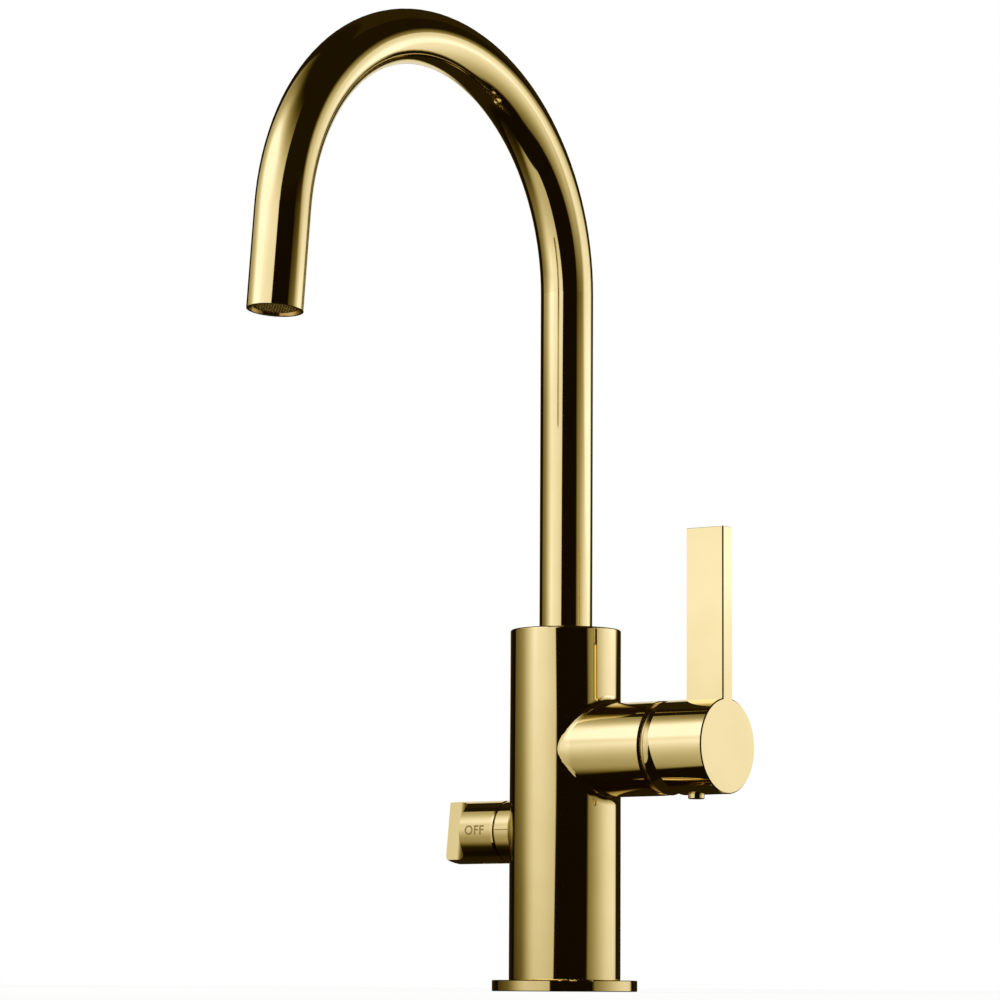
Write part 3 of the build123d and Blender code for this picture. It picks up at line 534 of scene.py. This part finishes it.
def tentMaterial():
    look = tentLook
    material = bpy.data.materials.new("tentCloth")
    material.use_nodes = True
    tree = material.node_tree
    tree.nodes.clear()
    place = addNode(tree, "ShaderNodeTexCoord").outputs["Object"]
    for operation, amount in (("SUBTRACT", look["centre"]), ("MULTIPLY", (1, 1, look["squeeze"]))):
        moved = addNode(tree, "ShaderNodeVectorMath", {0: place, 1: amount}, operation=operation)
        place = moved.outputs[0]
    ray = addNode(tree, "ShaderNodeVectorMath", {0: place}, operation="NORMALIZE")
    split = addNode(tree, "ShaderNodeSeparateXYZ", {0: ray.outputs[0]})
    front = addNode(tree, "ShaderNodeMath", {0: split.outputs["Y"], 1: -1.0}, operation="MULTIPLY")
    azimuth = addNode(tree, "ShaderNodeMath", {
        0: split.outputs["X"], 1: front.outputs[0],
    }, operation="ARCTAN2")
    elevation = addNode(tree, "ShaderNodeMath", {0: split.outputs["Z"]}, operation="ARCSINE")
    angles = addNode(tree, "ShaderNodeCombineXYZ", {
        "X": azimuth.outputs[0], "Y": elevation.outputs[0],
    })
    inDegrees = addNode(tree, "ShaderNodeVectorMath", {
        0: angles.outputs[0], "Scale": 180 / pi,
    }, operation="SCALE")
    total = look["cloth"]
    for window in windows.values():
        light = windowLight(tree, inDegrees.outputs[0], window)
        total = addNode(tree, "ShaderNodeMath", {0: light, 1: total}, operation="ADD").outputs[0]
    total = addNode(tree, "ShaderNodeMath", {
        0: total, 1: look["brightest"],
    }, operation="MINIMUM").outputs[0]
    red = addNode(tree, "ShaderNodeMath", {0: total, 1: look["redPower"]}, operation="POWER")
    blue = addNode(tree, "ShaderNodeMath", {0: total, 1: look["bluePower"]}, operation="POWER")
    colour = addNode(tree, "ShaderNodeCombineColor", {
        0: red.outputs[0], 1: total, 2: blue.outputs[0],
    })
    glow = addNode(tree, "ShaderNodeEmission", {"Color": colour.outputs[0], "Strength": 1.0})
    addNode(tree, "ShaderNodeOutputMaterial", {"Surface": glow.outputs[0]})
    material.cycles.emission_sampling = "NONE"
    return material


def onlyInReflections(thing):
    thing.visible_camera = False
    thing.visible_diffuse = False
    thing.visible_shadow = False
    thing.visible_transmission = False


def makeTent():
    look = tentLook
    bm = bmesh.new()
    bmesh.ops.create_uvsphere(
        bm, u_segments=look["segments"], v_segments=look["rings"], radius=look["radius"])
    bmesh.ops.scale(bm, vec=(1, 1, 1 / look["squeeze"]), verts=bm.verts)
    bmesh.ops.translate(bm, vec=look["centre"], verts=bm.verts)
    mesh = bpy.data.meshes.new("tent")
    bm.to_mesh(mesh)
    bm.free()
    mesh.materials.append(tentMaterial())
    tent = bpy.data.objects.new("tent", mesh)
    bpy.context.scene.collection.objects.link(tent)
    onlyInReflections(tent)


# Soft lamp that gives the floor its shadow, in metres, degrees and watts
keyLook = {
    "aim": (0, -0.05, 0.2), "azimuth": -35, "elevation": 50, "distance": 1.6,
    "size": 1.4, "watts": 7.0,
}


def makeKeyLamp():
    look = keyLook
    azimuth, elevation = radians(look["azimuth"]), radians(look["elevation"])
    away = Vector((sin(azimuth) * cos(elevation), -cos(azimuth) * cos(elevation), sin(elevation)))
    data = bpy.data.lights.new("keyLamp", "AREA")
    data.shape = "SQUARE"
    data.size = look["size"]
    data.energy = look["watts"]
    lamp = bpy.data.objects.new("keyLamp", data)
    bpy.context.scene.collection.objects.link(lamp)
    lamp.location = Vector(look["aim"]) + away * look["distance"]
    lamp.rotation_euler = (-away).to_track_quat("-Z", "Y").to_euler()
    lamp.visible_camera = False
    lamp.visible_glossy = False


# Camera of the photograph: almost at deck height, a long lens, tipped up a little. Metres, degrees
# and, for the lens and its sensor, mm
cameraLook = {
    "azimuth": 36.559, "distance": 1.8311, "height": 0.0025,
    "pitch": 6.807, "yaw": -0.94, "roll": 0.318,
    "lens": 146.43, "sensor": 36.0, "nearest": 0.05, "farthest": 50,
}


def makeCamera():
    look = cameraLook
    azimuth, pitch = radians(look["azimuth"]), radians(look["pitch"])
    yaw, roll = radians(look["yaw"]), radians(look["roll"])
    towards = Vector((-sin(azimuth), cos(azimuth), 0))
    beside = Vector((cos(azimuth), sin(azimuth), 0))
    level = towards * cos(yaw) + beside * sin(yaw)
    ahead = level * cos(pitch) + Vector((0, 0, 1)) * sin(pitch)
    right = ahead.cross(Vector((0, 0, 1))).normalized()
    up = right.cross(ahead)
    right, up = right * cos(roll) + up * sin(roll), up * cos(roll) - right * sin(roll)
    data = bpy.data.cameras.new("camera")
    data.lens = look["lens"]
    data.sensor_width = look["sensor"]
    data.clip_start = look["nearest"]
    data.clip_end = look["farthest"]
    camera = bpy.data.objects.new("camera", data)
    bpy.context.scene.collection.objects.link(camera)
    away = look["distance"]
    spot = Vector((sin(azimuth) * away, -cos(azimuth) * away, look["height"]))
    turned = Matrix((right, up, -ahead)).transposed().to_4x4()
    camera.matrix_world = Matrix.Translation(spot) @ turned
    bpy.context.scene.camera = camera


makeWorld()
makeFloor()
makeTent()
makeKeyLamp()
makeCamera()
bpy.context.scene.view_settings.view_transform = "Standard"
print("stage, lights and camera made")
